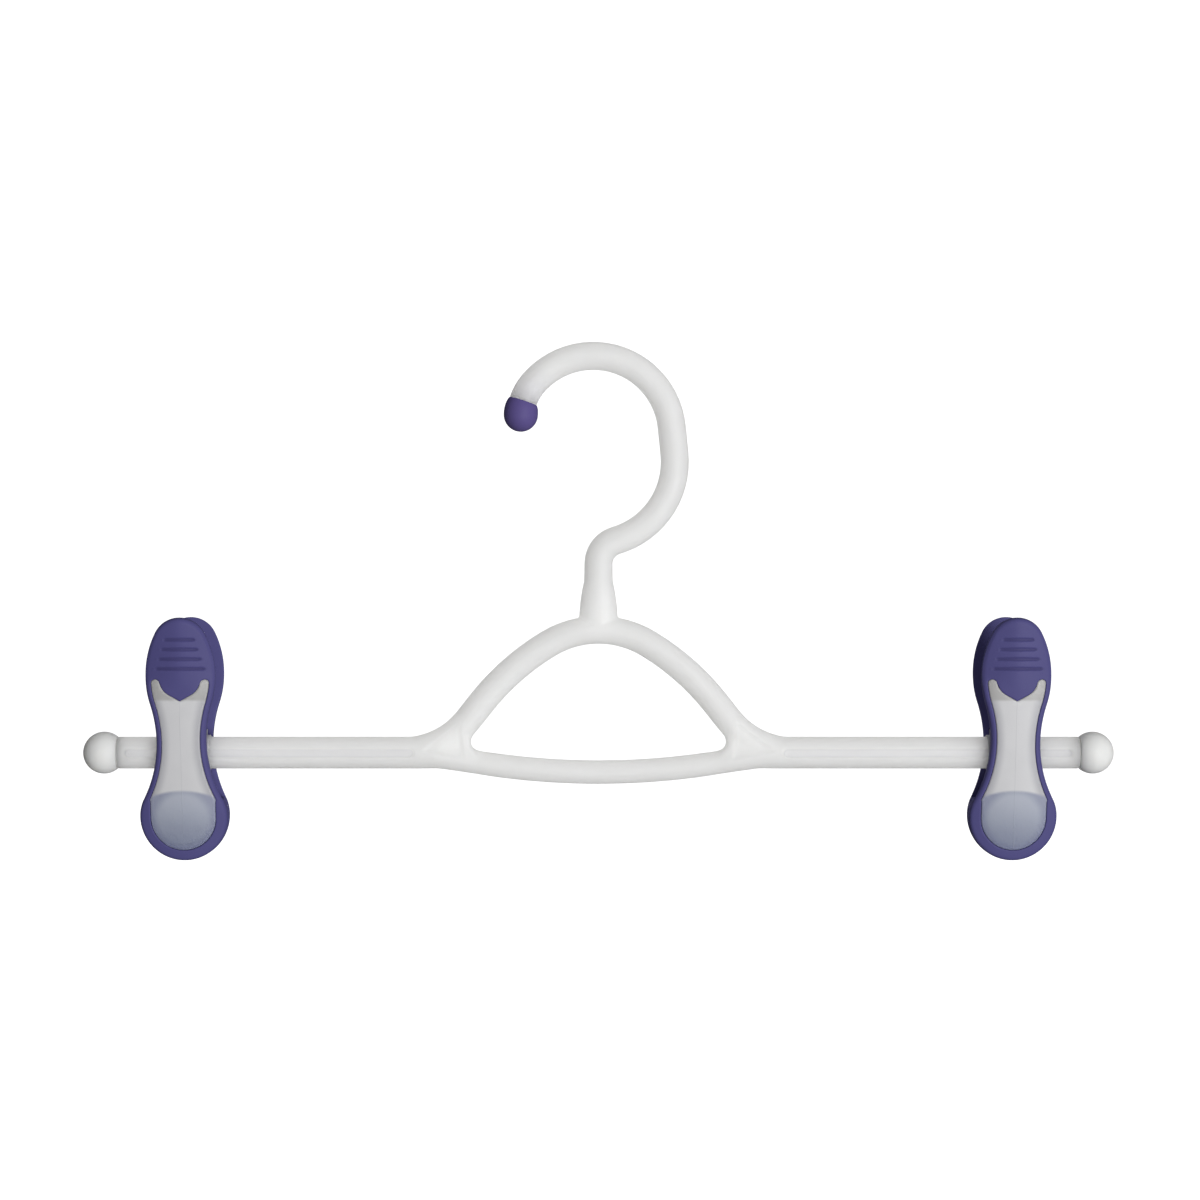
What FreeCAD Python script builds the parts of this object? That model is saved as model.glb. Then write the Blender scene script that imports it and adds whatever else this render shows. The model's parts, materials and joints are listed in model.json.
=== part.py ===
import FreeCAD, Part
import math
import os

os.makedirs("parts", exist_ok=True)

# Skirt hanger with two sprung clips that slide on a round bar.
# Millimetres. The origin is the inner top of the hook, where a wardrobe rail seats.
# X runs along the bar, the front faces -Y and Z is up.

# Hook
hook_d = 9.9                # thickness of the hook
hook_bore_d = 45.4          # inner diameter of the crown, for wardrobe rails up to 35
heel_mid_r = 28.6           # centreline radius of the lower right bend
heel_drop = 9.5             # heel centre below the crown centre
neck_mid_r = 8.5            # reverse bend above the stem
tip_mid_r = 17.7            # tighter bend that closes the hook in towards its tip
tip_turn_angle = 140.0      # where that bend begins, degrees round the crown
tip_angle = 162.0           # where the moulded hook ends, degrees round the tip bend
tip_spigot_d = 6.4          # core that the tip cap is pushed on to
tip_spigot_angle = 177.0
cap_dome_angle = 177.8      # where the tip cap's round end begins
cap_d = 12.0                # widest part of the tip cap
cap_swell_shares = ((0.0, 0.0), (0.3, 0.66), (0.65, 0.95), (1.0, 1.0))

# Stem and collar
body_shift = 1.85           # middle of the body beside the middle of the hook
stem_d = 10.1
collar_h = 17.0             # flared collar, down to the middle of the arch
collar_w = 13.2             # width of the collar at the middle of the arch
collar_flare_shares = ((0.33, 0.70), (0.5, 0.93), (1.0, 1.0))

# Bar and end knobs
bar_drop = 133.9            # bar axis below the rail seat
bar_d = 11.2
knob_d = 14.7
knob_reach = 172.9          # middle of a knob from the middle of the body
knob_spigot_d = 6.0
knob_spigot_l = 7.5
groove_start = 8.4          # near end of the guide groove beyond the bar's taper
groove_inset = 7.7          # far end of the guide groove before the middle of the knob
groove_w = 3.3
groove_depth = 0.9

# Arch, lower rail and crotch webs
arch_d = 9.8
arch_rise = 42.95           # top of the arch above the bar axis, on centrelines
arch_crown_r = 33.9
arch_flank_r = 88.0
arch_foot_r = 29.8
arch_crown_angle = 31.2     # slope where the crown becomes the flank, degrees
arch_flank_angle = 51.9     # steepest slope, degrees
foot_bury = 0.2             # the arch foot ends this far inside the bar's skin
foot_sections = 5
rail_d = 8.3
rail_sag = 6.84             # middle of the lower rail below the bar axis
rail_mid_r = 262.0
rail_end = 56.0             # where the bar begins to taper into the lower rail
rail_taper_l = 14.0
window_corner_r = 2.8
web_t = 8.0

# Clip places and tilt
clip_inset = 28.3           # clip middle before the middle of the knob
jaw_tilt = 8.1              # lean of each jaw with the clip shut, degrees
pad_gap = 0.15              # each pad stops this far from the clip's middle plane

# Jaw outline, seen square on: head, waist and round jaw end, all tangent arcs
head_top = 48.9             # top of the handle above the bar axis
head_cap_r = 9.5
head_half = 12.1            # widest half width of the handle
head_mid = 28.6             # height of the widest part
waist_r = 44.3              # hollow side of the waist
disc_r = 15.3               # round jaw end
disc_drop = 21.8            # middle of the jaw end below the bar axis

# Jaw section
crown_peak = 11.2           # highest line of the outer face from the bar axis
crown_mid = 22.0            # height of that line's highest point
crown_long_r = 500.0
crown_cross_r = 60.0
rim_round = 1.6
rim_back = 7.0              # open back of the jaw, from the bar axis
rim_w = 2.0                 # soft rim round the hard shell
shell_wall = 2.1
skirt_w = 1.2               # side walls of the hard shell
cover_t = 1.0               # soft layer over the hard shell
liner_t = 0.8               # soft layer inside the handle
liner_foot = 18.9           # lower edge of that layer
lip_foot = 9.0              # lower end of the soft lip on the handle's open edge
bond = 0.03                 # gap between moulded layers

# Thumb pad
shield_point = 20.1         # lower point of the thumb pad
shield_half = 7.1           # half width of the thumb pad between the horns
shield_slope = 30.0         # slope of the pointed edge, degrees
shield_shoulder_r = 6.1
horn_tip = 27.7             # top of the hard shell's two horns
groove_count = 4
groove_first = 31.5
groove_pitch = 3.37
thumb_groove_r = 0.8
thumb_groove_depth = 0.5
groove_width_shares = (0.74, 0.66, 0.57, 0.48)

# Jaw pad
ring_split = 15.4           # top of the soft ring, below the bar axis
ring_inner_r = 11.3
shell_disc_r = 12.5         # hard plate inside the soft ring
pad_top = 12.3              # top of the grip block, below the bar axis
pad_top_r = 30.0
tooth_count = 5
tooth_first = 17.0          # first cross groove of the grip face, below the bar axis
tooth_pitch = 3.2
tooth_r = 0.6

# Slider sleeve, ears and spring
run_gap = 0.08              # running fit, radial
sleeve_wall = 0.55
sleeve_l = 17.6
sleeve_slit = 1.4
key_w = 2.7
key_h = 0.55
key_l = 9.0
bead_clear = 0.2            # from the outer ears to the beads that keep them together
bead_w = 0.7
bead_h = 0.45
ear_t = 1.5
ear_gap = 0.3               # between neighbouring ears
ear_outer = 6.3             # outer face of the outer ear from the clip middle
ear_wall = 1.5
ear_post_half = 5.5
hub_clear = 0.4             # free space round ears and coil
wire_d = 1.1
coil_clear = 0.5            # coil to sleeve
coil_turns = 2
coil_pitch = 1.7
leg_l = 16.5
leg_lean = 9.0              # lean of the spring legs, degrees
leg_rib_w = 0.8
leg_rib_h = 0.9
leg_rib_clear = 0.3
leg_rib_foot = 9.5
leg_rib_top = 16.8
gap_samples = 24            # points per quarter turn for the spring's own gap

# Overrun for cuts and reach of cutting blocks
overrun = 1.0
reach = 80.0
crown_sweep = 9.5           # half angle of the crown surface, degrees

# Sizes that follow
hook_r = hook_d / 2
crown_mid_r = hook_bore_d / 2 + hook_r
crown_z = -hook_bore_d / 2
bar_r = bar_d / 2
bar_z = -bar_drop
knob_r = knob_d / 2
bar_end = knob_reach - math.sqrt(knob_r ** 2 - bar_r ** 2)
groove_near = rail_end + groove_start
groove_far = knob_reach - groove_inset
clip_reach = knob_reach - clip_inset
arch_r = arch_d / 2
rail_r = rail_d / 2
sleeve_bore_r = bar_r + run_gap
sleeve_r = sleeve_bore_r + sleeve_wall
ear_bore_r = sleeve_r + run_gap
ear_r = ear_bore_r + ear_wall
ear_inner = ear_outer - ear_t - ear_gap
bead_inner = ear_outer + bead_clear
wire_r = wire_d / 2
coil_r = sleeve_r + coil_clear + wire_r
hub_r = max(ear_r, coil_r + wire_r) + hub_clear

V = FreeCAD.Vector
ORIGIN = V(0, 0, 0)
X_AXIS = V(1, 0, 0)
Y_AXIS = V(0, 1, 0)
Z_AXIS = V(0, 0, 1)


def polar(centre, radius, degrees):
    """Point in the XZ plane, at an angle from +X towards +Z."""
    turn = math.radians(degrees)
    return centre + V(radius * math.cos(turn), 0, radius * math.sin(turn))


def arc(centre, radius, start, end):
    """Arc in the XZ plane between two angles."""
    middle = (start + end) / 2
    points = [polar(centre, radius, degrees) for degrees in (start, middle, end)]
    return Part.Arc(*points).toShape()


def short_arc(centre, start, end):
    """The shorter arc round a centre between two points."""
    radius = (start - centre).Length
    bisector = (start - centre) + (end - centre)
    middle = centre + bisector.normalize() * radius
    return Part.Arc(start, middle, end).toShape()


def line(start, end):
    return Part.LineSegment(start, end).toShape()


def circle(centre, normal, radius):
    return Part.Wire([Part.makeCircle(radius, centre, normal)])


def tube(edges, radius):
    """Round tube along a path of tangent lines and arcs."""
    path = Part.Wire(edges)
    first = edges[0]
    start = first.valueAt(first.FirstParameter)
    heading = first.tangentAt(first.FirstParameter)
    return path.makePipeShell([circle(start, heading, radius)], True, False)


def cylinder(start, axis, radius, length):
    return Part.makeCylinder(radius, length, start, axis)


def fuse(shapes):
    return shapes[0].multiFuse(shapes[1:]).removeSplitter()


def mirrored(shape, centre_x):
    return shape.mirror(V(centre_x, 0, 0), X_AXIS)


def tip_centre():
    """Centre of the bend at the hook's tip, tangent to the crown."""
    return polar(V(0, 0, crown_z), crown_mid_r - tip_mid_r, tip_turn_angle)


def hook_path():
    """Centrelines of the hook, from the top of the stem to the tip."""
    crown = V(0, 0, crown_z)
    heel = V(0, 0, crown_z - heel_drop)
    neck_x = body_shift + neck_mid_r
    join = heel_mid_r + neck_mid_r
    neck = V(neck_x, 0, heel.z - math.sqrt(join ** 2 - (neck_x - heel.x) ** 2))
    between = crown - heel
    lean = math.degrees(math.acos((heel_mid_r - crown_mid_r) / between.Length))
    flank = math.degrees(math.atan2(between.z, between.x)) - lean
    turn = math.degrees(math.atan2(heel.z - neck.z, heel.x - neck.x))
    neck_arc = arc(neck, neck_mid_r, 180, turn)
    heel_arc = arc(heel, heel_mid_r, turn - 180, flank)
    flank_line = line(polar(heel, heel_mid_r, flank), polar(crown, crown_mid_r, flank))
    crown_arc = arc(crown, crown_mid_r, flank, tip_turn_angle)
    tip_arc = arc(tip_centre(), tip_mid_r, tip_turn_angle, tip_angle)
    return neck, [neck_arc, heel_arc, flank_line, crown_arc, tip_arc]


def hook_tangent(degrees):
    return polar(ORIGIN, 1, degrees + 90)


def arch_points():
    """Right half of the arch centreline: arc centres and the foot of the straight flank."""
    top = V(body_shift, 0, bar_z + arch_rise)
    crown = top - Z_AXIS * arch_crown_r
    steep = math.radians(arch_flank_angle)
    crown_end = polar(crown, arch_crown_r, 90 - arch_crown_angle)
    flank = polar(crown_end, arch_flank_r, 270 - arch_crown_angle)
    flank_end = polar(flank, arch_flank_r, 90 - arch_flank_angle)
    foot_rise = arch_foot_r * (1 - math.cos(steep))
    straight = (flank_end.z - bar_z - foot_rise) / math.sin(steep)
    straight_end = flank_end + polar(ORIGIN, straight, -arch_flank_angle)
    foot = polar(straight_end, arch_foot_r, 90 - arch_flank_angle)
    return top, crown, flank, flank_end, straight_end, foot


def arch_tube():
    top, crown, flank, flank_end, straight_end, foot = arch_points()
    right_crown = 90 - arch_crown_angle
    right_flank = 90 - arch_flank_angle
    half = [
        arc(crown, arch_crown_r, 90, right_crown),
        arc(flank, arch_flank_r, right_crown, right_flank),
        line(flank_end, straight_end),
    ]
    right = tube(half, arch_r)
    sections = []
    for step in range(foot_sections):
        share = step / (foot_sections - 1)
        degrees = 270 - arch_flank_angle * (1 - share)
        grown = arch_r + (bar_r - foot_bury - arch_r) * share
        sections.append(circle(polar(foot, arch_foot_r, degrees), hook_tangent(degrees), grown))
    right_foot = Part.makeLoft(sections, True, False)
    return [right, right_foot, mirrored(right, body_shift), mirrored(right_foot, body_shift)]


def rail_centre():
    return V(body_shift, 0, bar_z - rail_sag + rail_mid_r)


def rail_solids():
    """Sagging lower rail, and the tapers that carry it into the bar."""
    centre = rail_centre()
    near = rail_end - rail_taper_l
    half_turn = math.degrees(math.asin(near / rail_mid_r))
    whole = tube([arc(centre, rail_mid_r, 270 - half_turn, 270 + half_turn)], rail_r)
    thick_end = circle(V(body_shift + rail_end, 0, bar_z), X_AXIS, bar_r)
    thin_at = 270 + half_turn
    thin_end = circle(polar(centre, rail_mid_r, thin_at), hook_tangent(thin_at), rail_r)
    taper = Part.makeLoft([thin_end, thick_end], True, True)
    return [whole, taper, mirrored(taper, body_shift)]


def crotch_web():
    """Flat web between arch foot and rail, with the window's rounded corner."""
    straight_end = arch_points()[4]
    centre = rail_centre()
    inward = polar(ORIGIN, 1, 270 - arch_flank_angle)
    along = polar(ORIGIN, 1, -arch_flank_angle)
    start = straight_end + inward * (arch_r + window_corner_r)
    hold = rail_mid_r - rail_r - window_corner_r
    from_centre = start - centre
    half_b = from_centre.dot(along)
    step = -half_b + math.sqrt(half_b ** 2 - from_centre.dot(from_centre) + hold ** 2)
    corner = start + along * step
    arch_touch = corner - inward * window_corner_r
    arch_core = arch_touch - inward * arch_r
    down = (corner - centre).normalize()
    rail_touch = corner + down * window_corner_r
    rail_core = rail_touch + down * rail_r
    bar_core = V(body_shift + rail_end, 0, bar_z)
    edges = [
        short_arc(corner, arch_touch, rail_touch),
        line(rail_touch, rail_core),
        line(rail_core, bar_core),
        line(bar_core, arch_core),
        line(arch_core, arch_touch),
    ]
    face = Part.Face(Part.Wire(edges))
    face.translate(Y_AXIS * (-web_t / 2))
    return face.extrude(Y_AXIS * web_t)


def guide_groove(side):
    """Round-ended groove along the front or back of one bar, as a cutter."""
    half = groove_w / 2
    near = V(body_shift + groove_near + half, 0, bar_z)
    far = V(body_shift + groove_far - half, 0, bar_z)
    edges = [
        line(near + Z_AXIS * half, far + Z_AXIS * half),
        arc(far, half, 90, -90),
        line(far - Z_AXIS * half, near - Z_AXIS * half),
        arc(near, half, -90, -270),
    ]
    face = Part.Face(Part.Wire(edges))
    face.translate(Y_AXIS * (side * (bar_r - groove_depth)))
    return face.extrude(Y_AXIS * (side * (groove_depth + overrun)))


def collar(top, foot):
    """Flared collar that carries the stem into the arch."""
    sections = [circle(top, Z_AXIS, stem_d / 2)]
    for down_share, flare_share in collar_flare_shares:
        half = (stem_d + (collar_w - stem_d) * flare_share) / 2
        depth = stem_d / 2 + (arch_r - foot_bury - stem_d / 2) * down_share
        ring = Part.Ellipse(top + (foot - top) * down_share, half, depth)
        sections.append(Part.Wire([ring.toShape()]))
    return Part.makeLoft(sections, True, False)


def hanger_body():
    neck, path = hook_path()
    tip = arc(tip_centre(), tip_mid_r, tip_angle, tip_spigot_angle)
    arch_top = arch_points()[0]
    collar_top = arch_top + Z_AXIS * collar_h
    stem_top = V(body_shift, 0, neck.z)
    stem = Part.makeCone(stem_d / 2, hook_r, stem_top.z - collar_top.z, collar_top, Z_AXIS)
    bar = cylinder(V(body_shift + rail_end, 0, bar_z), X_AXIS, bar_r, bar_end - rail_end)
    spigot = cylinder(
        V(body_shift + bar_end, 0, bar_z), X_AXIS, knob_spigot_d / 2, knob_spigot_l)
    web = crotch_web()
    sides = [bar, spigot, web]
    solids = [tube(path, hook_r), tube([tip], tip_spigot_d / 2), stem]
    solids.append(collar(collar_top, arch_top))
    solids += arch_tube() + rail_solids() + sides
    solids += [mirrored(side, body_shift) for side in sides]
    body = fuse(solids)
    for side in (-1, 1):
        groove = guide_groove(side)
        body = body.cut(groove).cut(mirrored(groove, body_shift))
    return body


def hook_tip_cap():
    """Soft cap: starts flush with the hook, swells and ends in a dome."""
    bend = tip_centre()
    sections = []
    for along_share, swell_share in cap_swell_shares:
        degrees = tip_angle + (cap_dome_angle - tip_angle) * along_share
        radius = hook_r + (cap_d / 2 - hook_r) * swell_share
        sections.append(circle(polar(bend, tip_mid_r, degrees), hook_tangent(degrees), radius))
    sleeve = Part.makeLoft(sections, True, False)
    heart = polar(bend, tip_mid_r, cap_dome_angle)
    dome = Part.makeSphere(cap_d / 2, heart, hook_tangent(cap_dome_angle), 0, 90, 360)
    hole_end = tip_spigot_angle + math.degrees(bond / tip_mid_r)
    hole_start = tip_angle - math.degrees(overrun / tip_mid_r)
    hole = tube([arc(bend, tip_mid_r, hole_start, hole_end)], tip_spigot_d / 2 + bond)
    return fuse([sleeve, dome]).cut(hole)


def end_knob():
    """Ball pressed on to the end of the bar, right-hand side."""
    heart = V(body_shift + knob_reach, 0, bar_z)
    face_x = body_shift + bar_end + bond
    ball = Part.makeSphere(knob_r, heart, X_AXIS)
    block = Part.makeBox(knob_d, knob_d, knob_d, V(face_x - knob_d, -knob_r, bar_z - knob_r))
    hole = cylinder(V(face_x, 0, bar_z), X_AXIS, knob_spigot_d / 2 + bond, knob_spigot_l)
    return ball.cut(block).cut(hole)


def waist_centre():
    """Centre of the right waist arc, tangent to the handle side and the jaw end."""
    side = side_centre()
    disc = V(0, 0, -disc_drop)
    to_side = side_radius() + waist_r
    to_disc = disc_r + waist_r
    between = side - disc
    span = between.Length
    along = (span ** 2 + to_disc ** 2 - to_side ** 2) / (2 * span)
    across = math.sqrt(to_disc ** 2 - along ** 2)
    heading = V(between).normalize()
    return disc + heading * along + V(heading.z, 0, -heading.x) * across


def side_radius():
    """Radius of the handle's long side arcs, from its cap and its widest point."""
    climb = head_top - head_cap_r - head_mid
    return (head_half ** 2 + climb ** 2 - head_cap_r ** 2) / (2 * (head_half - head_cap_r))


def side_centre():
    return V(head_half - side_radius(), 0, head_mid)


def jaw_face(inset):
    """Jaw outline drawn in by an inset, as a face in the XZ plane."""
    cap = V(0, 0, head_top - head_cap_r)
    disc = V(0, 0, -disc_drop)
    side = side_centre()
    waist = waist_centre()
    cap_touch = side + (cap - side).normalize() * (side_radius() - inset)
    waist_touch = side + (waist - side).normalize() * (side_radius() - inset)
    disc_touch = disc + (waist - disc).normalize() * (disc_r - inset)

    def left(point):
        return V(-point.x, 0, point.z)

    bottom = disc - Z_AXIS * (disc_r - inset)
    edges = [
        short_arc(cap, left(cap_touch), cap_touch),
        short_arc(side, cap_touch, waist_touch),
        short_arc(waist, waist_touch, disc_touch),
        Part.Arc(disc_touch, bottom, left(disc_touch)).toShape(),
        short_arc(left(waist), left(disc_touch), left(waist_touch)),
        short_arc(left(side), left(waist_touch), left(cap_touch)),
    ]
    return Part.Face(Part.Wire(edges))


def prism(inset):
    """Jaw outline drawn in by an inset, from the bar axis out past the outer face."""
    return jaw_face(inset).extrude(-Y_AXIS * (crown_peak + overrun))


def crown(drop):
    """Everything under the doubly curved outer face, lowered by a drop."""
    peak = crown_peak - drop
    cross_r = crown_cross_r - drop
    half = disc_r + overrun
    edge = peak - cross_r + math.sqrt(cross_r ** 2 - half ** 2)
    corners = [V(half, -edge, crown_mid), V(half, 0, crown_mid), V(-half, 0, crown_mid),
               V(-half, -edge, crown_mid)]
    edges = [line(corners[i], corners[i + 1]) for i in range(3)]
    edges.append(Part.Arc(corners[3], V(0, -peak, crown_mid), corners[0]).toShape())
    face = Part.Face(Part.Wire(edges))
    axis_at = V(0, crown_long_r - crown_peak, crown_mid)
    face.rotate(axis_at, X_AXIS, -crown_sweep)
    return face.revolve(axis_at, X_AXIS, 2 * crown_sweep)


def above(height):
    return Part.makeBox(2 * reach, 2 * reach, reach, V(-reach, -reach, height))


def below(height):
    return Part.makeBox(2 * reach, 2 * reach, reach, V(-reach, -reach, height - reach))


def behind(distance):
    """Everything nearer to the bar axis than a plane in front of it."""
    return Part.makeBox(2 * reach, reach, 2 * reach, V(-reach, -distance, -reach))


def envelope():
    """Whole outer form of a jaw, with its rounded front edge."""
    block = prism(0).common(crown(0))
    lowest = rim_back - rim_round
    top_edges = [edge for edge in block.Edges if all(-v.Y > lowest for v in edge.Vertexes)]
    return block.makeFillet(rim_round, top_edges)


def thumb_zone():
    """Area of the thumb pad: a pointed shield between two round-ended horns."""
    slope = math.radians(shield_slope)
    side = reach / 2
    turn_x = shield_half - shield_shoulder_r * (1 - math.sin(slope))
    turn_z = shield_point + turn_x * math.tan(slope)
    shoulder = V(shield_half - shield_shoulder_r, 0, turn_z + shield_shoulder_r * math.cos(slope))
    horn_r = (horn_outer() - shield_half) / 2
    horn = V(shield_half + horn_r, 0, horn_tip - horn_r)
    right = [
        line(V(0, 0, shield_point), V(turn_x, 0, turn_z)),
        arc(shoulder, shield_shoulder_r, shield_slope - 90, 0),
        line(V(shield_half, 0, shoulder.z), V(shield_half, 0, horn.z)),
        arc(horn, horn_r, 180, 0),
        line(V(horn_outer(), 0, horn.z), V(side, 0, horn.z)),
        line(V(side, 0, horn.z), V(side, 0, reach)),
        line(V(side, 0, reach), V(0, 0, reach)),
    ]
    left = [mirrored(edge, 0) for edge in right]
    return Part.Face(Part.Wire(Part.__sortEdges__(right + left)))


def horn_outer():
    """Outer edge of the horns: the hard shell's outline at their height."""
    side = side_centre()
    return side.x + math.sqrt((side_radius() - rim_w) ** 2 - (horn_tip - side.z) ** 2)


def jaw_end(radius, grow):
    """Round lower end of the hard shell, with straight sides up to the split."""
    half = radius + grow
    depth = crown_peak + overrun
    disc = cylinder(V(0, 0, -disc_drop), -Y_AXIS, half, depth)
    sides = Part.makeBox(2 * half, depth, disc_drop, V(-half, -depth, -disc_drop))
    return disc.fuse(sides).common(below(-ring_split + overrun)).common(prism(rim_w - grow))


def shell_window(grow):
    """Area of the hard shell that shows on the front, through the full thickness."""
    upper = prism(rim_w - grow).common(above(-ring_split - grow))
    pad = thumb_zone().extrude(-Y_AXIS * (crown_peak + 2 * overrun))
    return upper.cut(pad).fuse(jaw_end(ring_inner_r, grow))


def shell_base(grow):
    """Hard shell under the soft layer, down to the bar axis."""
    upper = prism(rim_w - grow).common(above(-ring_split - grow))
    return upper.fuse(jaw_end(shell_disc_r, grow)).common(crown(cover_t - grow))


def ear(middle):
    """Ring round the slider sleeve, with the post that joins it to the shell."""
    start = V(middle - ear_t / 2, 0, 0)
    ring = cylinder(start, X_AXIS, ear_r, ear_t)
    post = Part.makeBox(
        ear_t, hub_r, 2 * ear_post_half, V(start.x, -hub_r, -ear_post_half))
    return ring.fuse(post)


def ear_places():
    """Ear middles of one jaw; the facing jaw, turned round, fills the places between."""
    return (ear_outer - ear_t / 2, -(ear_inner - ear_t / 2))


def leg_guides():
    """Two ribs inside the shell, either side of a spring leg."""
    face_at = crown_peak - shell_wall
    leg_x = -coil_end()
    half = wire_r + leg_rib_clear
    ribs = []
    for start in (leg_x - half - leg_rib_w, leg_x + half):
        ribs.append(Part.makeBox(
            leg_rib_w, leg_rib_h + shell_wall / 2, leg_rib_top - leg_rib_foot,
            V(start, -face_at - shell_wall / 2, leg_rib_foot)))
    return ribs


def jaw_shell(form):
    """Hard half of a jaw: curved plate, side walls, ears and spring guides."""
    solid = shell_base(0).fuse(shell_window(0).common(form))
    hollow = crown(shell_wall)
    upper_hollow = prism(rim_w + skirt_w).common(hollow)
    lower_hollow = hollow.common(below(-ring_split))
    solid = solid.cut(upper_hollow).cut(lower_hollow).cut(behind(rim_back))
    lip = above(lip_foot).common(behind(rim_back + liner_t))
    solid = solid.cut(lip)
    solid = solid.cut(cylinder(V(-reach, 0, 0), X_AXIS, hub_r, 2 * reach))
    shaft = cylinder(V(-reach, 0, 0), X_AXIS, ear_bore_r, 2 * reach)
    limits = shell_base(0)
    ears = [ear(middle).cut(shaft) for middle in ear_places()]
    ears = [item.common(limits.fuse(cylinder(V(-reach, 0, 0), X_AXIS, ear_r, 2 * reach)))
            for item in ears]
    return solid.multiFuse(ears + leg_guides())


def handle_grip(form):
    """Soft half: thumb pad, thin rim and the lining inside the handle."""
    outer = form.common(above(-ring_split + bond)).cut(behind(rim_back))
    outer = outer.cut(shell_window(bond)).cut(shell_base(bond))
    inner_edge = rim_w + skirt_w
    lining = prism(inner_edge + bond).common(crown(shell_wall + bond))
    lining = lining.cut(prism(inner_edge + liner_t).common(crown(shell_wall + liner_t)))
    lip = prism(rim_w - 2 * bond).cut(prism(inner_edge + liner_t))
    lip = lip.common(behind(rim_back + liner_t - bond)).common(above(lip_foot + bond))
    wrap = lining.common(above(liner_foot + bond)).fuse(lip).cut(behind(rim_back))
    grip = fuse([outer, wrap])
    for row in range(groove_count):
        grip = grip.cut(thumb_groove(row))
    return grip


def thumb_groove(row):
    """Round-ended finger groove across the thumb pad."""
    height = groove_first + row * groove_pitch
    half = head_half * groove_width_shares[row] - thumb_groove_r
    surface = crown_peak - (height - crown_mid) ** 2 / (2 * crown_long_r)
    depth_at = surface - thumb_groove_depth + thumb_groove_r
    start = V(-half, -depth_at, height)
    bar = cylinder(start, X_AXIS, thumb_groove_r, 2 * half)
    ends = [Part.makeSphere(thumb_groove_r, start + X_AXIS * shift) for shift in (0, 2 * half)]
    return fuse([bar] + ends)


def jaw_pad(form):
    """Soft ring round the jaw end, one piece with the grip block behind the shell."""
    ring = form.common(below(-ring_split))
    under = crown(shell_wall + bond)
    plate = shell_base(bond).fuse(shell_window(bond)).cut(under)
    ring = ring.cut(plate)
    block = prism(rim_w + skirt_w + bond).common(under)
    block = block.common(above(-ring_split - overrun))
    round_top = cylinder(V(0, 0, -pad_top - pad_top_r), -Y_AXIS, pad_top_r, crown_peak)
    block = block.common(round_top)
    pad = fuse([ring, block])
    front = Part.makeBox(2 * reach, reach, 2 * reach, V(-reach, -reach - pad_gap, -reach))
    teeth = [cylinder(V(-reach, -pad_gap, -tooth_first - row * tooth_pitch), X_AXIS, tooth_r,
                      2 * reach) for row in range(tooth_count)]
    for tool in [front] + teeth:
        tool.rotate(ORIGIN, X_AXIS, -jaw_tilt)
    pad = pad.common(front)
    for tooth in teeth:
        pad = pad.cut(tooth)
    return pad


def slider_sleeve():
    """Split sleeve that runs on the bar, with keys in the grooves and end beads."""
    start = V(-sleeve_l / 2, 0, 0)
    outer = [cylinder(start, X_AXIS, sleeve_r, sleeve_l)]
    for at in (bead_inner, -bead_inner - bead_w):
        outer.append(cylinder(V(at, 0, 0), X_AXIS, sleeve_r + bead_h, bead_w))
    bore = cylinder(start - X_AXIS * overrun, X_AXIS, sleeve_bore_r, sleeve_l + 2 * overrun)
    keys = []
    for side in (-1, 1):
        low = bar_r - key_h
        depth = sleeve_r - low
        corner = V(-key_l / 2, side * (low + depth / 2) - depth / 2, -key_w / 2)
        keys.append(Part.makeBox(key_l, depth, key_w, corner))
    skin = cylinder(start, X_AXIS, sleeve_r, sleeve_l)
    sleeve = fuse([fuse(outer).cut(bore)] + [key.common(skin) for key in keys])
    slit = Part.makeBox(
        sleeve_l + 2 * overrun, sleeve_slit, 2 * sleeve_r,
        V(-sleeve_l / 2 - overrun, -sleeve_slit / 2, -2 * sleeve_r))
    return sleeve.cut(slit)


def coil_sweep():
    """Degrees of winding between the two spring legs."""
    return 180 + 360 * coil_turns - 2 * leg_lean


def coil_end():
    """Distance of a spring leg from the clip middle, along the bar."""
    return coil_pitch * coil_sweep() / 360 / 2


def coil_state(share):
    """Point and heading on the winding, from the rear leg to the front leg."""
    turn = math.radians(-leg_lean - coil_sweep() * share)
    point = V(coil_end() * (1 - 2 * share), coil_r * math.cos(turn), coil_r * math.sin(turn))
    climb = 0 if share in (0, 1) else -coil_pitch / (2 * math.pi)
    heading = V(climb, coil_r * math.sin(turn), -coil_r * math.cos(turn)).normalize()
    return point, heading


def tangent_arc(start, corner, end):
    """Arc between two points, tangent to the lines that meet at a corner."""
    chord_middle = (start + end) * 0.5
    half = (end - start).Length / 2
    rise = (corner - chord_middle).Length
    leg = (corner - start).Length
    top = chord_middle + (corner - chord_middle) * (half * (leg - half) / rise ** 2)
    return Part.Arc(start, top, end).toShape()


def biarc(start, start_heading, end, end_heading):
    """Two tangent arcs between two points with given headings."""
    across = end - start
    both = across.dot(start_heading + end_heading)
    open_angle = 2 * (1 - start_heading.dot(end_heading))
    reach_out = (math.sqrt(both ** 2 + open_angle * across.dot(across)) - both) / open_angle
    first = start + start_heading * reach_out
    second = end - end_heading * reach_out
    joint = (first + second) * 0.5
    return [tangent_arc(start, first, joint), tangent_arc(joint, second, end)]


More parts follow.
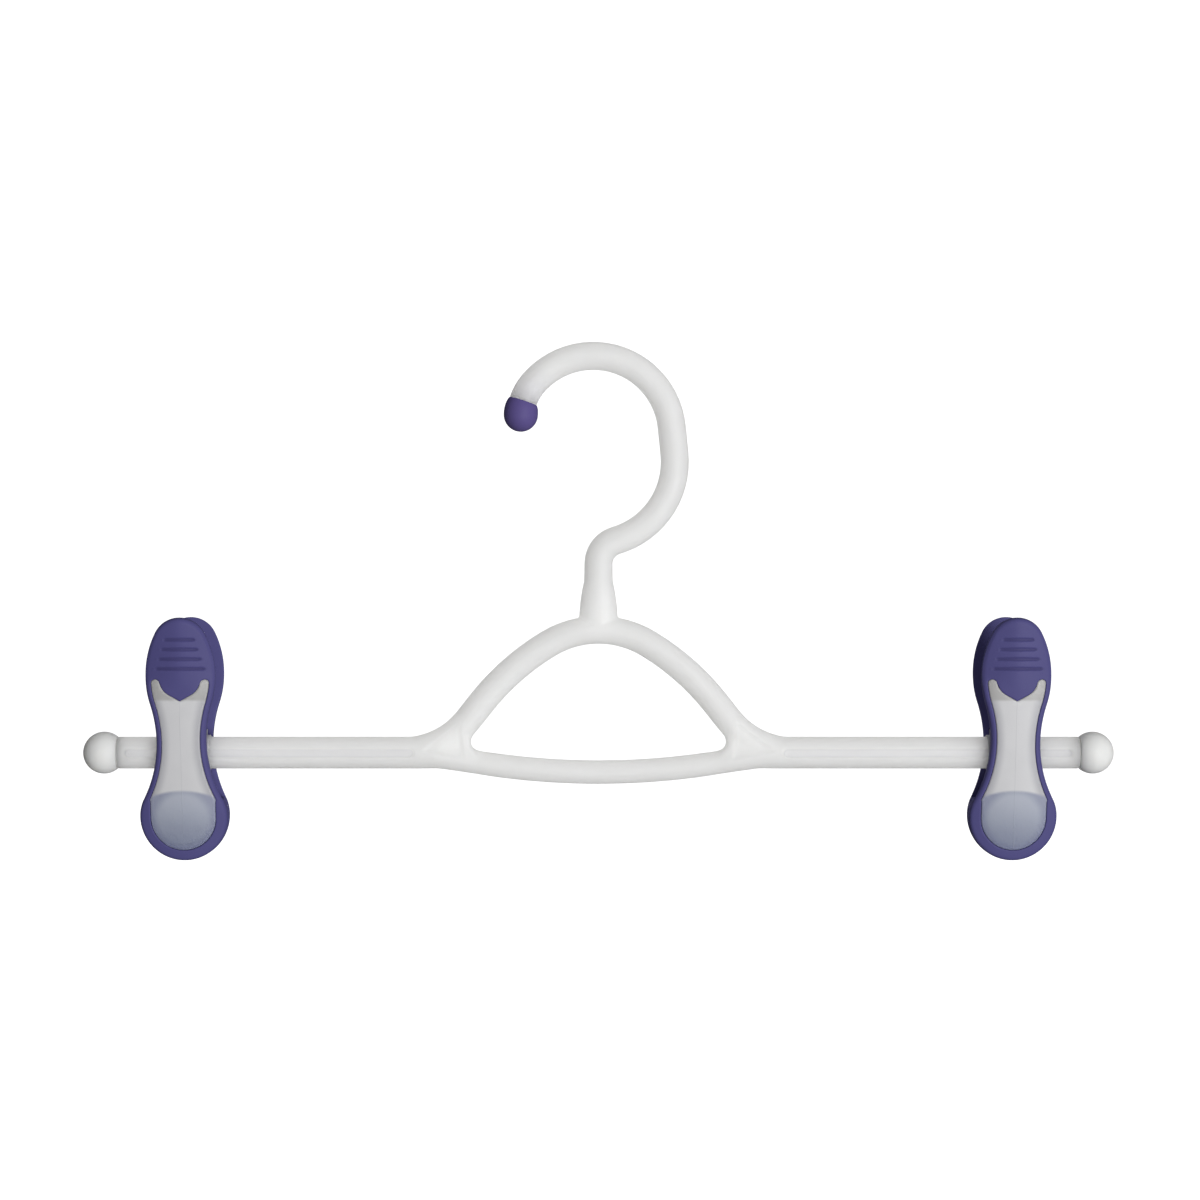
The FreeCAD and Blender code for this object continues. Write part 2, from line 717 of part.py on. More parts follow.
def torsion_spring():
    """Wound wire round the sleeve, with a straight leg up into each handle."""
    steps = round(coil_sweep() / 90)
    states = [coil_state(step / steps) for step in range(steps + 1)]
    edges = []
    for (start, start_heading), (end, end_heading) in zip(states, states[1:]):
        edges += biarc(start, start_heading, end, end_heading)
    rear_point, rear_heading = states[0]
    front_point, front_heading = states[-1]
    edges.insert(0, line(rear_point - rear_heading * leg_l, rear_point))
    edges.append(line(front_point, front_point + front_heading * leg_l))
    return tube(edges, wire_r), steps


def spring_gap(steps):
    """Least gap of the winding to itself, measured on points."""
    count = steps * gap_samples
    points = [coil_state(index / count)[0] for index in range(count + 1)]
    lag = round(count * 180 / coil_sweep())
    gaps = [(points[i] - points[j]).Length
            for i in range(count + 1) for j in range(i + lag, count + 1)]
    return min(gaps) - wire_d


def place(shape, clip_x, turned):
    """Put a clip piece on the bar, facing the front or turned to the rear."""
    placed = shape.copy()
    if turned:
        placed.rotate(ORIGIN, Z_AXIS, 180)
    placed.translate(V(clip_x, 0, bar_z))
    return placed


def clip_pieces():
    """All pieces of one clip, round the bar axis at the origin."""
    form = envelope()
    spring, steps = torsion_spring()
    print("spring gap to itself %.2f mm" % spring_gap(steps))
    pieces = {"jaw_shell": jaw_shell(form), "handle_grip": handle_grip(form),
              "jaw_pad": jaw_pad(form)}
    for shape in pieces.values():
        shape.rotate(ORIGIN, X_AXIS, jaw_tilt)
    return pieces, slider_sleeve(), spring


def all_nodes():
    knob = end_knob()
    nodes = {"hanger_body": hanger_body(), "hook_tip_cap": hook_tip_cap(),
             "right_end_knob": knob, "left_end_knob": mirrored(knob, body_shift)}
    pieces, sleeve, spring = clip_pieces()
    for side, sign in (("left", -1), ("right", 1)):
        clip_x = body_shift + sign * clip_reach
        nodes[side + "_slider_sleeve"] = place(sleeve, clip_x, False)
        nodes[side + "_torsion_spring"] = place(spring, clip_x, False)
        for name, shape in pieces.items():
            nodes[side + "_front_" + name] = place(shape, clip_x, False)
            nodes[side + "_rear_" + name] = place(shape, clip_x, True)
    return nodes


for node, solid in all_nodes().items():
    print("%-24s solids %d  valid %s  volume %.1f mm3"
          % (node, len(solid.Solids), solid.isValid(), solid.Volume))
    solid.exportStep(os.path.join("parts", node + ".step"))
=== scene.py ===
import json
import math

import bmesh
import bpy
from mathutils import Matrix, Vector

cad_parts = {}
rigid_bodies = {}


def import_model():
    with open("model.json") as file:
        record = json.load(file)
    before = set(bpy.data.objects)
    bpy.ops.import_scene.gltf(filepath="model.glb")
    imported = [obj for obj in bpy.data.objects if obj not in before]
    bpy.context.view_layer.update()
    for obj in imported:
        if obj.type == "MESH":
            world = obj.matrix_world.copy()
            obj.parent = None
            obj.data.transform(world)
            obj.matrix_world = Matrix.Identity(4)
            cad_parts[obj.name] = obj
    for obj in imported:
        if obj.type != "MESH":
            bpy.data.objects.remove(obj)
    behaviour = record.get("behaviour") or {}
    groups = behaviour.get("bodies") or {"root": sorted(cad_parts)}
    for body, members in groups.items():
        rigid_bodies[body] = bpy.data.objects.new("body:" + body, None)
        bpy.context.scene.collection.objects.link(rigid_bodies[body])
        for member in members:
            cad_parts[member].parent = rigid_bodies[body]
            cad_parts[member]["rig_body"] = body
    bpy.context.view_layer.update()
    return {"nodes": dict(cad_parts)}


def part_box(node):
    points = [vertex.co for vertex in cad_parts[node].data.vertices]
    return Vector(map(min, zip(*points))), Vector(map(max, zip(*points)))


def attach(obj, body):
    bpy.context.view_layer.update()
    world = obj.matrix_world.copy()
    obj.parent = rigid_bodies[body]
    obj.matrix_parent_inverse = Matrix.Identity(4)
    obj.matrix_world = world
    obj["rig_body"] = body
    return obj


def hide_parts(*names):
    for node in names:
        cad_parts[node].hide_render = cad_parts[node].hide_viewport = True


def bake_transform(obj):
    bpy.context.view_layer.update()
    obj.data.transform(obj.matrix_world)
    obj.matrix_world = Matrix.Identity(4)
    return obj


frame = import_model()
nodes = frame["nodes"]

# Skirt hanger with two sprung clips. Metres, in the frame of the construction:
# X along the bar, the front faces -Y, Z up, origin at the hook's inner top.

# Camera
camera_reach = 1.0           # in front of the bar
view_width = 0.42            # width of the picture at the bar
camera_x = 0.0024
camera_z = -0.0805

# Soft lights: place, size and power in watts
key_light = ((2.0, -4.0, -0.50), 2.0, 178)
back_light = ((0.0, 2.20, 0.0), 0.8, 40)
top_light = ((0.0, -0.20, 1.60), 1.2, 5)
ambient = 0.14               # light that the white room gives from all round

# Stage
floor_z = -0.45
floor_r = 4.0
floor_sides = 96
floor_colour = (0.9, 0.9, 0.9, 1)
floor_rough = 0.9
pale_r = 0.30                # shaded middle of the floor
white_r = 0.72               # from here out the floor is pure white
floor_pale = 0.66            # how bright its middle is of itself
floor_glow = 1.2
dome_r = 6.0
dome_segments = 48
dome_rings = 24
white = (1, 1, 1, 1)
black = (0, 0, 0, 1)

# Colours in screen values. A pair is the dark and the light end of a mottled surface.
body_colours = ((233, 234, 230), (238, 238, 236))
clip_colours = ((206, 206, 208), (212, 212, 214))
grip_colours = ((78, 75, 126), (83, 80, 132))
cap_colours = ((88, 77, 134), (96, 85, 142))
wire_colours = ((150, 150, 152), (196, 196, 198))
pad_colours = ((178, 183, 195), (131, 138, 160))    # top and foot of the jaw end

# Tints and painted shade over those: colour and share
cap_shade_tint = ((205, 202, 220), 0.6)       # painted shade and purple light from the cap on the hook beside the tip cap
guide_shade_tint = ((208, 208, 216), 0.5)     # painted shade in the guide grooves of the bar
ring_shade_tint = ((100, 104, 142), 0.45)     # painted shade at the edge of the jaw end, beside the soft ring
wall_shade_tint = ((160, 160, 167), 0.7)      # painted shade along the sides of the shell, over its side walls
liner_tint = ((164, 163, 160), 0.7)     # lining of the handle
seam_tint = ((140, 142, 152), 0.10)     # parting line of a jaw
groove_shade_tint = ((34, 30, 66), 0.35)      # painted shade in the thumb grooves

# Light in the plastic: share that enters, each channel's reach, and the reach in metres
body_scattered = 1.0
body_channels = (1.0, 0.98, 0.94)
body_scatter = 0.045
knob_scatter = 0.008
clip_scattered = 0.6
clip_channels = (1.0, 1.0, 1.0)
clip_scatter = 0.002
body_gloss = 0.25
grip_gloss = 0.15

# Noise of the surfaces: scale and detail
body_flow = (70, 2)
body_mist = (900, 4)
clip_flow = (110, 2)
clip_mist = (1100, 4)
grip_flow = (140, 2)
grip_grain = (2600, 3)
wire_scratch = (1800, 4)

# Roughness, from the low to the high end of the noise
body_rough = (0.45, 0.58)
clip_rough = (0.44, 0.56)
grip_rough = (0.48, 0.64)
wire_rough = (0.25, 0.45)

# Relief: height and strength
body_seam_relief = (0.00008, 0.5)
body_flow_relief = (0.0006, 0.25)
clip_seam_relief = (0.00006, 0.3)
mist_relief = (0.00004, 0.35)
grain_relief = (0.00005, 0.5)
scratch_relief = (0.00003, 0.4)
body_seam_foot = 0.0003      # the body's parting line, from its middle plane
body_seam_top = 0.0001

# Marks on the milky shells, as seen from the front, from the bar axis: what shows through them,
# painted shade and the parting line
pad_top = 0.0130             # top of the grip block
pad_top_r = 0.030
pad_edge = 0.0007            # how softly that edge shows
disc_drop = 0.0229           # middle of the round jaw end
disc_r = 0.0113
ring_shade_w = 0.0035        # painted shade darkens the edge of the jaw end, beside the soft ring
liner_foot = 0.0187          # lower edge of the lining in the handle
liner_edge = 0.0006
waist_x = 0.0529             # middle of the waist's hollow arc, beside the clip
waist_z = 0.0040
waist_r = 0.0463
wall_w = 0.0036              # painted shade along the edge of the shell, over its side walls
seam_half = 0.00012          # parting line down the middle of a jaw

# Thumb grooves, as seen from the front, from the bar axis
groove_first = 0.0296
groove_pitch = 0.00335
groove_count = 4
groove_half = 0.0090         # half length of the lowest groove
groove_step = 0.00115        # each one above is shorter by this at both ends
groove_w = 0.0007            # half width
groove_depth = 0.0005
groove_edge = 0.0012         # how softly the ends show
face_depth = 0.0098          # the pad's outer face is further than this from the bar axis
face_cross_r = 0.060         # crown of that face, across
jaw_tilt = 8.1               # degrees

# Fall of the handle's face to both sides of a soft ridge, beyond its solid
ridge_foot = 0.0187          # from the bar axis; it is full at the thumb grooves
ridge_half = 0.0020
ridge_slope = 0.15
ridge_depth = 0.0025         # reaches this far into the face

# Outer edges of a jaw, which its mould rounds off: how far from the bar axis they lie
rim_depth = 0.0085
ring_depth = 0.0065
rim_foot = -0.008            # the rim passes into the ring between these heights
ring_top = -0.022
edge_rounds = 14

# Guide grooves of the bar, with painted shade in them
guide_half = 0.00165
guide_mid = 0.1148           # middle of a groove, from the middle of the body
guide_reach = 0.0488         # from there to where its ends turn round
guide_edge = 0.0006

# Painted shade and purple light from the cap on the hook beside the tip cap, from the cap's middle
cap_glow_near = 0.006
cap_glow_far = 0.020
shoulder_reach = 0.009       # the hook's shoulder under the cap keeps its edge

# Softened pieces: voxel, rounds of smoothing and share of the faces kept
body_finish = (0.0004, 6, 0.35)
jaw_finish = (0.00022, 3, 0.22)
cap_finish = (0.0002, 4, 0.5)
knob_finish = (0.0002, 4, 0.3)
smooth_factor = 0.5
crotch_x = 0.049             # middle of a crotch web, from the middle of the body
crotch_reach = 0.014
crotch_rounds = 120

# Sunken panel of each crotch web, seen from the front, from the middle of the body and the bar
panel = ((0.0464, -0.0028), (0.0625, 0.0005), (0.0476, 0.0120))
panel_depth = 0.0008
panel_edge = 0.0016          # how wide its sloping edge is

# Spring
wire_r = 0.00055
wire_resolution = 4
coil_r = 0.00728
coil_pitch = 0.0017
coil_turns = 2
coil_steps = 72
leg_l = 0.0165
leg_lean = 9.0               # degrees


def middle(node):
    low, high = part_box(node)
    return (low + high) / 2


clips = {side: middle(side + "_slider_sleeve") for side in ("left", "right")}
bar_z = clips["left"].z
body_x = (clips["left"].x + clips["right"].x) / 2
clip_reach = clips["right"].x - body_x


def clamped(value):
    return min(max(value, 0), 1)


def eased(value):
    """Rises smoothly from 0 at 0 to 1 at 1."""
    share = clamped(value)
    return share ** 2 * (3 - 2 * share)


def linear(red, green, blue):
    """A colour named in screen values, as the shader needs it."""
    def one(value):
        value = value / 255
        return value / 12.92 if value <= 0.04045 else ((value + 0.055) / 1.055) ** 2.4
    return (one(red), one(green), one(blue), 1)


def feed(tree, socket, value):
    """Give an input a fixed value or another node's output."""
    if isinstance(value, bpy.types.NodeSocket):
        tree.links.new(value, socket)
    else:
        socket.default_value = value


def calc(tree, operation, *values):
    made = tree.nodes.new("ShaderNodeMath")
    made.operation = operation
    for socket, value in zip(made.inputs, values):
        feed(tree, socket, value)
    return made.outputs[0]


def between(tree, value, start, end):
    """Rises smoothly from 0 at start to 1 at end."""
    made = tree.nodes.new("ShaderNodeMapRange")
    made.interpolation_type = "SMOOTHSTEP"
    feed(tree, made.inputs["Value"], value)
    made.inputs["From Min"].default_value = start
    made.inputs["From Max"].default_value = end
    return made.outputs["Result"]


def spread(tree, value, low, high):
    """A 0 to 1 value spread between two others."""
    made = tree.nodes.new("ShaderNodeMapRange")
    feed(tree, made.inputs["Value"], value)
    made.inputs["To Min"].default_value = low
    made.inputs["To Max"].default_value = high
    return made.outputs["Result"]


def blend(tree, share, low, high):
    made = tree.nodes.new("ShaderNodeMix")
    made.data_type = "RGBA"
    feed(tree, made.inputs[0], share)
    feed(tree, made.inputs[6], low)
    feed(tree, made.inputs[7], high)
    return made.outputs[2]


def mottled(tree, share, colours):
    """A colour between the two ends of a pair."""
    dark, light = colours
    return blend(tree, share, linear(*dark), linear(*light))


def tinted(tree, colour, mask, tint):
    """A colour with a tint laid over it where the mask is 1."""
    screen, share = tint
    return blend(tree, calc(tree, "MULTIPLY", mask, share), colour, linear(*screen))


def hypotenuse(tree, first, second):
    """Length of a vector that is given by its two parts."""
    squares = [calc(tree, "POWER", part, 2) for part in (first, second)]
    return calc(tree, "SQRT", calc(tree, "ADD", *squares))


def noise(tree, place, scale, detail):
    made = tree.nodes.new("ShaderNodeTexNoise")
    made.inputs["Scale"].default_value = scale
    made.inputs["Detail"].default_value = detail
    feed(tree, made.inputs["Vector"], place)
    return made.outputs[0]


def bump(tree, height, relief, under=None):
    distance, strength = relief
    made = tree.nodes.new("ShaderNodeBump")
    made.inputs["Distance"].default_value = distance
    made.inputs["Strength"].default_value = strength
    feed(tree, made.inputs["Height"], height)
    if under is not None:
        feed(tree, made.inputs["Normal"], under)
    return made.outputs["Normal"]


def new_material(name):
    made = bpy.data.materials.new(name)
    made.use_nodes = True
    tree = made.node_tree
    place = tree.nodes.new("ShaderNodeTexCoord").outputs["Object"]
    return made, tree, tree.nodes["Principled BSDF"], place


def scattering(shader, share, channels, reach):
    """Light that enters the plastic and leaves it further on."""
    shader.inputs["Subsurface Weight"].default_value = share
    shader.inputs["Subsurface Radius"].default_value = channels
    shader.inputs["Subsurface Scale"].default_value = reach


def axes(tree, place):
    made = tree.nodes.new("ShaderNodeSeparateXYZ")
    feed(tree, made.inputs[0], place)
    return made.outputs


def milky_body(name, scatter):
    """Frosted white plastic of the moulded body, with flow marks and a parting line, and painted
    shade beside the tip cap and in the guide grooves.
    """
    made, tree, shader, place = new_material(name)
    x, y, z = axes(tree, place)
    flow = noise(tree, place, *body_flow)
    colour = mottled(tree, flow, body_colours)
    cap = middle("hook_tip_cap")
    from_cap = hypotenuse(tree, calc(tree, "SUBTRACT", x, cap.x), calc(tree, "SUBTRACT", z, cap.z))
    near_cap = between(tree, from_cap, cap_glow_far, cap_glow_near)
    # painted shade and purple light from the cap, on the hook beside it
    colour = tinted(tree, colour, near_cap, cap_shade_tint)
    from_middle = calc(tree, "ABSOLUTE", calc(tree, "SUBTRACT", x, body_x))
    from_guide = calc(tree, "ABSOLUTE", calc(tree, "SUBTRACT", from_middle, guide_mid))
    past_end = calc(tree, "MAXIMUM", calc(tree, "SUBTRACT", from_guide, guide_reach), 0)
    off_line = hypotenuse(tree, past_end, calc(tree, "SUBTRACT", z, bar_z))
    grooved = between(tree, off_line, guide_half, guide_half - guide_edge)
    # painted shade in the guide grooves
    feed(tree, shader.inputs["Base Color"], tinted(tree, colour, grooved, guide_shade_tint))
    scattering(shader, body_scattered, body_channels, scatter)
    shader.inputs["Specular IOR Level"].default_value = body_gloss
    mist = noise(tree, place, *body_mist)
    feed(tree, shader.inputs["Roughness"], spread(tree, mist, *body_rough))
    line = between(tree, calc(tree, "ABSOLUTE", y), body_seam_foot, body_seam_top)
    seam = bump(tree, line, body_seam_relief)
    waves = bump(tree, flow, body_flow_relief, seam)
    feed(tree, shader.inputs["Normal"], bump(tree, mist, mist_relief, waves))
    return made


def on_clip(tree, place):
    """Distance across from the middle of a clip, and height above the bar axis."""
    x, _, z = axes(tree, place)
    from_middle = calc(tree, "ABSOLUTE", calc(tree, "SUBTRACT", x, body_x))
    across = calc(tree, "ABSOLUTE", calc(tree, "SUBTRACT", from_middle, clip_reach))
    return across, calc(tree, "SUBTRACT", z, bar_z)


def backed_by_pad(tree, across, along, colour):
    """Blue-grey of the jaw end, where the grip block shows through, with painted shade at its edge
    beside the soft ring.
    """
    fall = between(tree, along, -pad_top, -disc_drop - disc_r)
    tint = mottled(tree, fall, pad_colours)
    end_far = hypotenuse(tree, across, calc(tree, "ADD", along, disc_drop))
    # painted shade at the edge of the jaw end, beside the soft ring
    shaded = between(tree, end_far, disc_r - ring_shade_w, disc_r)
    tint = tinted(tree, tint, shaded, ring_shade_tint)
    pad_far = hypotenuse(tree, across, calc(tree, "ADD", along, pad_top + pad_top_r))
    backed = between(tree, pad_far, pad_top_r + pad_edge, pad_top_r - pad_edge)
    return blend(tree, backed, colour, tint)


def milky_clip():
    """Thin frosted shell of the clips, tinted by what lies behind it, with painted shade along its
    sides and at the edge of the jaw end.
    """
    made, tree, shader, place = new_material("milky_clip")
    across, along = on_clip(tree, place)
    colour = mottled(tree, noise(tree, place, *clip_flow), clip_colours)
    waist_far = hypotenuse(tree, calc(tree, "SUBTRACT", across, waist_x),
                           calc(tree, "SUBTRACT", along, waist_z))
    # painted shade along the sides of the shell
    side_shaded = between(tree, waist_far, waist_r + wall_w, waist_r)
    colour = tinted(tree, colour, side_shaded, wall_shade_tint)
    lined = between(tree, along, liner_foot - liner_edge, liner_foot + liner_edge)
    colour = tinted(tree, colour, lined, liner_tint)
    colour = backed_by_pad(tree, across, along, colour)
    seam = between(tree, across, 2 * seam_half, seam_half)
    feed(tree, shader.inputs["Base Color"], tinted(tree, colour, seam, seam_tint))
    scattering(shader, clip_scattered, clip_channels, clip_scatter)
    mist = noise(tree, place, *clip_mist)
    feed(tree, shader.inputs["Roughness"], spread(tree, mist, *clip_rough))
    line = bump(tree, seam, clip_seam_relief)
    feed(tree, shader.inputs["Normal"], bump(tree, mist, mist_relief, line))
    return made


def in_grooves(tree, place):
    """1 in the thumb grooves, 0 elsewhere."""
    across, along = on_clip(tree, place)
    row = calc(tree, "DIVIDE", calc(tree, "SUBTRACT", along, groove_first), groove_pitch)
    nearest = calc(tree, "MINIMUM", calc(tree, "MAXIMUM", calc(tree, "ROUND", row), 0),
                   groove_count - 1)
    off = calc(tree, "ABSOLUTE", calc(tree, "SUBTRACT", row, nearest))
    half = calc(tree, "SUBTRACT", groove_half, calc(tree, "MULTIPLY", nearest, groove_step))
    inside = between(tree, calc(tree, "SUBTRACT", across, half), groove_edge, -groove_edge)
    low = between(tree, calc(tree, "MULTIPLY", off, groove_pitch), groove_w, 0)
    return calc(tree, "MULTIPLY", low, inside)


def soft_grip(name, colours):
    """Matt purple rubber with a fine moulded grain, and painted shade in the thumb grooves."""
    made, tree, shader, place = new_material(name)
    colour = mottled(tree, noise(tree, place, *grip_flow), colours)
    # painted shade in the thumb grooves
    colour = tinted(tree, colour, in_grooves(tree, place), groove_shade_tint)
    feed(tree, shader.inputs["Base Color"], colour)
    grain = noise(tree, place, *grip_grain)
    feed(tree, shader.inputs["Roughness"], spread(tree, grain, *grip_rough))
    shader.inputs["Specular IOR Level"].default_value = grip_gloss
    feed(tree, shader.inputs["Normal"], bump(tree, grain, grain_relief))
    return made


def spring_wire():
    """Drawn steel wire with fine scratches."""
    made, tree, shader, place = new_material("spring_wire")
    scratch = noise(tree, place, *wire_scratch)
    feed(tree, shader.inputs["Base Color"], mottled(tree, scratch, wire_colours))
    shader.inputs["Metallic"].default_value = 1.0
    feed(tree, shader.inputs["Roughness"], spread(tree, scratch, *wire_rough))
    feed(tree, shader.inputs["Normal"], bump(tree, scratch, scratch_relief))
    return made


def stage_white():
    """Pale floor that turns pure white towards its rim."""
    made, tree, shader, place = new_material("stage_white")
    length = tree.nodes.new("ShaderNodeVectorMath")
    length.operation = "LENGTH"
    feed(tree, length.inputs[0], place)
    glow = between(tree, length.outputs["Value"], pale_r, white_r)
    shader.inputs["Base Color"].default_value = floor_colour
    shader.inputs["Roughness"].default_value = floor_rough
    shader.inputs["Emission Color"].default_value = white
    feed(tree, shader.inputs["Emission Strength"], spread(tree, glow, floor_pale, floor_glow))
    return made


def backdrop_white():
    """Pure white all round."""
    made, _, shader, _ = new_material("backdrop_white")
    shader.inputs["Base Color"].default_value = black
    shader.inputs["Specular IOR Level"].default_value = 0
    shader.inputs["Emission Color"].default_value = white
    shader.inputs["Emission Strength"].default_value = floor_glow
    return made


def new_object(name, data):
    """A mesh, curve, lamp or lens put into the scene."""
    made = bpy.data.objects.new(name, data)
    bpy.context.scene.collection.objects.link(made)
    return made


def evaluated(piece):
    """What an object's modifiers or bevel make of it, as a mesh."""
    graph = bpy.context.evaluated_depsgraph_get()
    return bpy.data.meshes.new_from_object(piece.evaluated_get(graph))


def settle(piece):
    """Turn what the modifiers make of a piece into its own mesh."""
    piece.data = evaluated(piece)
    piece.modifiers.clear()


def smoothing(piece, rounds, group=""):
    smooth = piece.modifiers.new("smooth", "SMOOTH")
    smooth.factor = smooth_factor
    smooth.iterations = rounds
    smooth.vertex_group = group


def remeshed(names, voxel):
    """One closed skin round the CAD meshes of some nodes, as a new object."""
    shape = bmesh.new()
    for name in names:
        shape.from_mesh(nodes[name].data)
    mesh = bpy.data.meshes.new("skin")
    shape.to_mesh(mesh)
    shape.free()
    piece = new_object("skin", mesh)
    remesh = piece.modifiers.new("remesh", "REMESH")
    remesh.mode = "VOXEL"
    remesh.voxel_size = voxel
    settle(piece)
    return piece


def keep_largest(mesh):
    """Leave out the specks that a remesh makes beside the piece itself."""
    shape = bmesh.new()
    shape.from_mesh(mesh)
    waiting = set(shape.verts)
    islands = []
    while waiting:
        island = [waiting.pop()]
        for vertex in island:
            beside = [edge.other_vert(vertex) for edge in vertex.link_edges]
            fresh = [other for other in beside if other in waiting]
            waiting.difference_update(fresh)
            island.extend(fresh)
        islands.append(island)
    islands.sort(key=len)
    for island in islands[:-1]:
        bmesh.ops.delete(shape, geom=island, context="VERTS")
    shape.to_mesh(mesh)
    shape.free()


def finished(piece, rounds, kept_share, group=""):
    """The piece's mesh with its edges rounded and its faces thinned out."""
    smoothing(piece, rounds, group)
    thin = piece.modifiers.new("thin", "DECIMATE")
    thin.ratio = kept_share
    mesh = evaluated(piece)
    keep_largest(mesh)
    mesh.shade_smooth()
    bpy.data.objects.remove(piece)
    return mesh


def softened(names, finish):
    """CAD meshes as their mould leaves them, with rounded edges."""
    voxel, rounds, kept_share = finish
    return finished(remeshed(names, voxel), rounds, kept_share)


def in_panel(across, along):
    """How far inside the panel of a crotch web a point lies, or below 0 outside it."""
    inside = []
    for (x1, z1), (x2, z2) in zip(panel, panel[1:] + panel[:1]):
        cross = (x2 - x1) * (along - z1) - (z2 - z1) * (across - x1)
        inside.append(cross / math.hypot(x2 - x1, z2 - z1))
    return min(inside)


def hanger_body():
    """The moulded body, with its crotch webs blended into the arch and rail, and sunk."""
    voxel, rounds, kept_share = body_finish
    piece = remeshed(["hanger_body"], voxel)
    group = piece.vertex_groups.new(name="crotch")
    crotches = [Vector((body_x + side * crotch_x, 0, bar_z)) for side in (-1, 1)]
    for vertex in piece.data.vertices:
        near = min((vertex.co - at).length for at in crotches)
        if near < crotch_reach:
            group.add([vertex.index], 1 - near / crotch_reach, "REPLACE")
    smoothing(piece, crotch_rounds, "crotch")
    settle(piece)
    for vertex in piece.data.vertices:
        inside = in_panel(abs(vertex.co.x - body_x), vertex.co.z - bar_z)
        sunk = panel_depth * eased(inside / panel_edge)
        vertex.co.y -= math.copysign(sunk, vertex.co.y)
    cap = middle("hook_tip_cap")
    rounded = piece.vertex_groups.new(name="rounded")
    rounded.add([vertex.index for vertex in piece.data.vertices
                 if (vertex.co - cap).length > shoulder_reach], 1, "REPLACE")
    return finished(piece, rounds, kept_share, "rounded")


def jaw(kinds):
    """Pieces of the left front jaw in one skin, with its grooves, ridge and round edges."""
    voxel, rounds, kept_share = jaw_finish
    piece = remeshed(["left_front_" + kind for kind in kinds], voxel)
    upright = Matrix.Rotation(math.radians(-jaw_tilt), 3, "X")
    edges = []
    for vertex in piece.data.vertices:
        at = vertex.co - clips["left"]
        depth = -(upright @ at).y
        grooved = -1 < (at.z - groove_first) / groove_pitch < groove_count
        if not grooved or abs(at.x) > groove_half + groove_edge:
            high = clamped((at.z - ring_top) / (rim_foot - ring_top))
            if depth > ring_depth + high * (rim_depth - ring_depth):
                edges.append(vertex.index)
        row = min(max(round((at.z - groove_first) / groove_pitch), 0), groove_count - 1)
        off = abs(at.z - groove_first - row * groove_pitch)
        end = groove_half - row * groove_step - abs(at.x)
        if off < groove_w and end > 0 and depth > face_depth:
            share = (1 - (off / groove_w) ** 2) * min(end / groove_edge, 1)
            vertex.co.y += share * min(groove_depth, at.x ** 2 / (2 * face_cross_r))
        rise = eased((at.z - ridge_foot) / (groove_first - ridge_foot))
        outer = clamped(1 + (depth - face_depth) / ridge_depth)
        vertex.co.y += rise * outer * ridge_slope * (math.hypot(at.x, ridge_half) - ridge_half)
    piece.vertex_groups.new(name="edges").add(edges, 1, "REPLACE")
    smoothing(piece, edge_rounds, "edges")
    return finished(piece, rounds, kept_share)


def dress(piece, material):
    piece.data.materials.clear()
    piece.data.materials.append(material)


def add_piece(name, mesh, replaced, material):
    """A piece that stands for CAD nodes of one body and rides on that body."""
    piece = new_object(name, mesh)
    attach(piece, nodes[replaced[0]]["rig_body"])
    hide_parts(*replaced)
    dress(piece, material)


def jaw_places():
    """Side, face, clip and turn of each of the four jaws."""
    for side, clip in clips.items():
        for face, turn in (("front", 0), ("rear", math.pi)):
            yield side, face, clip, turn


def jaw_pieces(name, kinds, material):
    """A skin of the left front jaw, set in all four places of its kind."""
    first = jaw(kinds)
    to_middle = Matrix.Translation(-clips["left"])
    for side, face, clip, turn in jaw_places():
        prefix = "%s_%s_" % (side, face)
        mesh = first.copy()
        mesh.transform(Matrix.Translation(clip) @ Matrix.Rotation(turn, 4, "Z") @ to_middle)
        add_piece(prefix + name, mesh, [prefix + kind for kind in kinds], material)


def spring_half():
    """Half a spring, from the middle of its winding to the end of the front leg."""
    sweep = 180 + 360 * coil_turns - 2 * leg_lean
    points = []
    for step in range(coil_steps + 1):
        turned = sweep * (1 + step / coil_steps) / 2
        turn = math.radians(-leg_lean - turned)
        at_x = coil_pitch * (sweep / 2 - turned) / 360
        points.append(Vector((at_x, coil_r * math.cos(turn), coil_r * math.sin(turn))))
    points.append(points[-1] + leg_l * Vector((0, math.sin(turn), -math.cos(turn))))
    curve = bpy.data.curves.new("spring", "CURVE")
    curve.dimensions = "3D"
    curve.bevel_depth = wire_r
    curve.bevel_resolution = wire_resolution
    curve.use_fill_caps = True
    spline = curve.splines.new("POLY")
    spline.points.add(len(points) - 1)
    for made, point in zip(spline.points, points):
        made.co = (*point, 1)
    wire = new_object("winding", curve)
    mesh = evaluated(wire)
    bpy.data.objects.remove(wire)
    mesh.shade_smooth()
    return mesh, points[-1].x


def springs(material):
    """Each spring in two halves, one for each jaw, set round the slider."""
    half, end_x = spring_half()
    for side, face, clip, turn in jaw_places():
        mesh = half.copy()
        mesh.transform(Matrix.Translation(clip) @ Matrix.Rotation(turn, 4, "Z"))
        piece = new_object("%s_%s_spring_half" % (side, face), mesh)
        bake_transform(piece)
        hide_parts(side + "_torsion_spring")
        dress(piece, material)


def softbox(name, light, gloss=True):
    """Square soft light aimed at the middle of the hanger, with or without its reflections."""
    place, size, power = light
    lamp = bpy.data.lights.new(name, "AREA")
    lamp.size = size
    lamp.energy = power
    made = new_object(name, lamp)
    made.location = place
    aim = Vector((camera_x, 0, camera_z)) - Vector(place)
    made.rotation_euler = aim.to_track_quat("-Z", "Y").to_euler()
    made.visible_glossy = gloss


